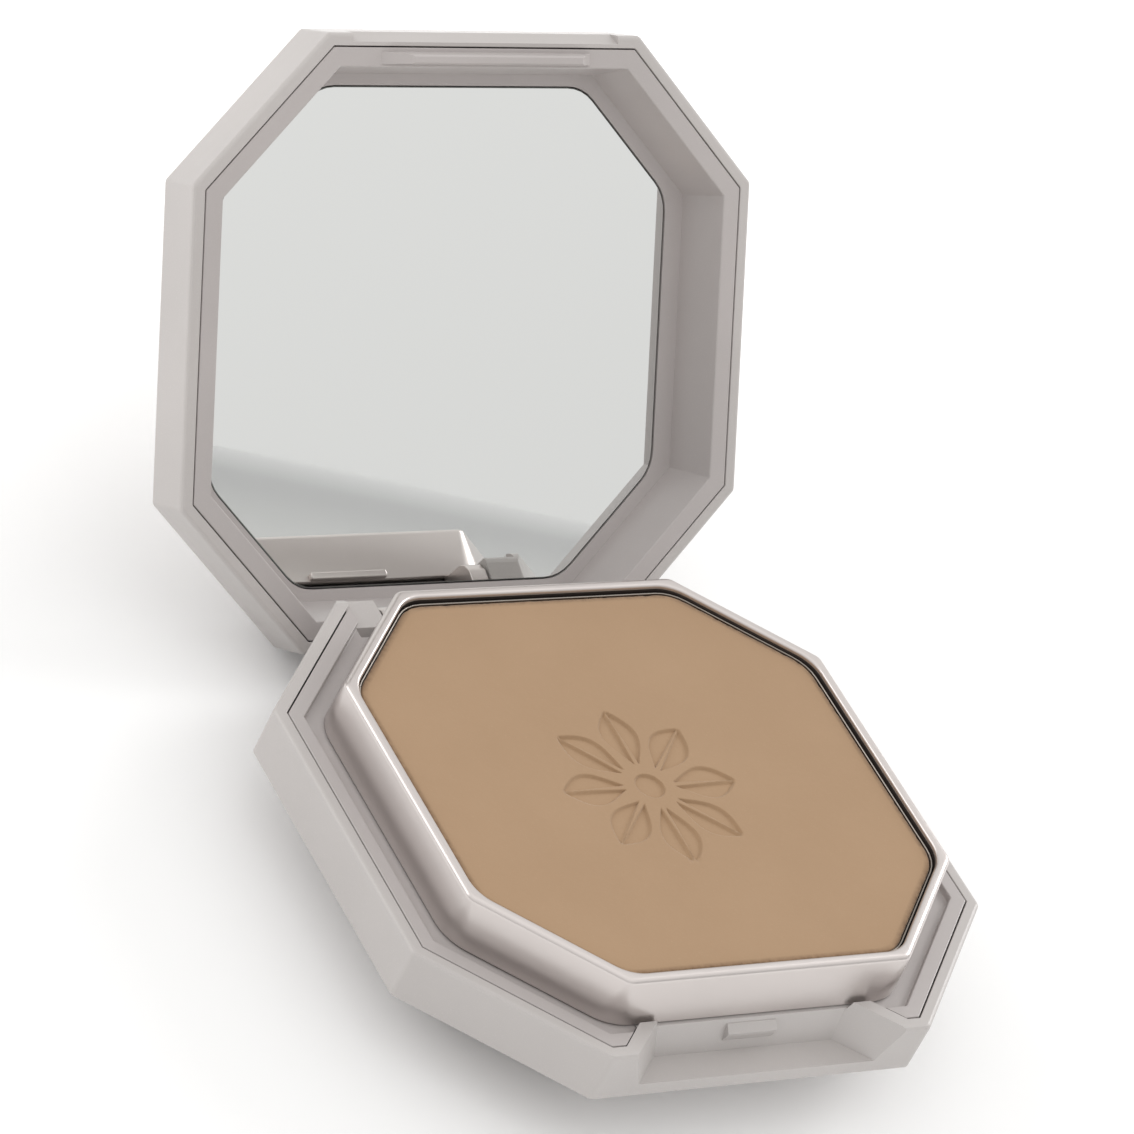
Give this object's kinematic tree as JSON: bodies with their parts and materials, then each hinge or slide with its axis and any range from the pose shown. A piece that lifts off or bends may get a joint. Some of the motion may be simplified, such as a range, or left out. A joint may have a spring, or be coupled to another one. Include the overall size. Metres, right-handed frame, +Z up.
{
  "type": "powder compact",
  "caption": "Octagonal hinged compact standing open, with a mirror in its lid, a finger notch in front, and a pressed powder pan in a tray that lifts off a sponge well.",
  "frame": {"origin": "centre of the flat underside of the base", "axes": "+Z up out of the underside, +Y to the hinge at the back, -Y to the finger notch, +X along the hinge pins"},
  "size_m": [0.075, 0.1155, 0.0596],
  "materials": {
    "base_shell_plastic": "warm grey pearl plastic, satin gloss",
    "base_frame_plastic": "warm grey pearl plastic, satin gloss",
    "foam": "fine open-cell latex foam",
    "pin_steel": "bright drawn steel wire",
    "tray_metallised": "vacuum-metallised plastic with a faint pink tint",
    "pan_tinplate": "drawn sheet metal",
    "pressed_powder": "fine pressed powder, fully matte",
    "pan_tape": "double-sided tape",
    "lid_shell_plastic": "warm grey pearl plastic, satin gloss",
    "lid_frame_plastic": "warm grey pearl plastic, satin gloss",
    "mirror": "silvered glass",
    "mirror_tape": "double-sided tape"
  },
  "bodies": {
    "base": {"base_outer_shell": "base_shell_plastic", "base_inner_frame": "base_frame_plastic", "sponge_pad": "foam", "hinge_pin_left": "pin_steel", "hinge_pin_right": "pin_steel"},
    "tray": {"tray_frame": "tray_metallised", "powder_pan": "pan_tinplate", "powder_cake": "pressed_powder", "pan_adhesive": "pan_tape"},
    "lid": {"lid_outer_shell": "lid_shell_plastic", "lid_inner_frame": "lid_frame_plastic", "mirror_glass": "mirror", "mirror_adhesive": "mirror_tape"}
  },
  "joints": [
    {"name": "tray_hinge", "type": "hinge", "parent": "base", "child": "tray", "pos_m": [0, 0.03227, 0.00913], "axis": [-1, 0, 0], "range_deg": [0, 40]},
    {"name": "lid_hinge", "type": "hinge", "parent": "tray", "child": "lid", "pos_m": [0, 0.03227, 0.00913], "axis": [1, 0, 0], "range_deg": [0, 126.2]}
  ]
}
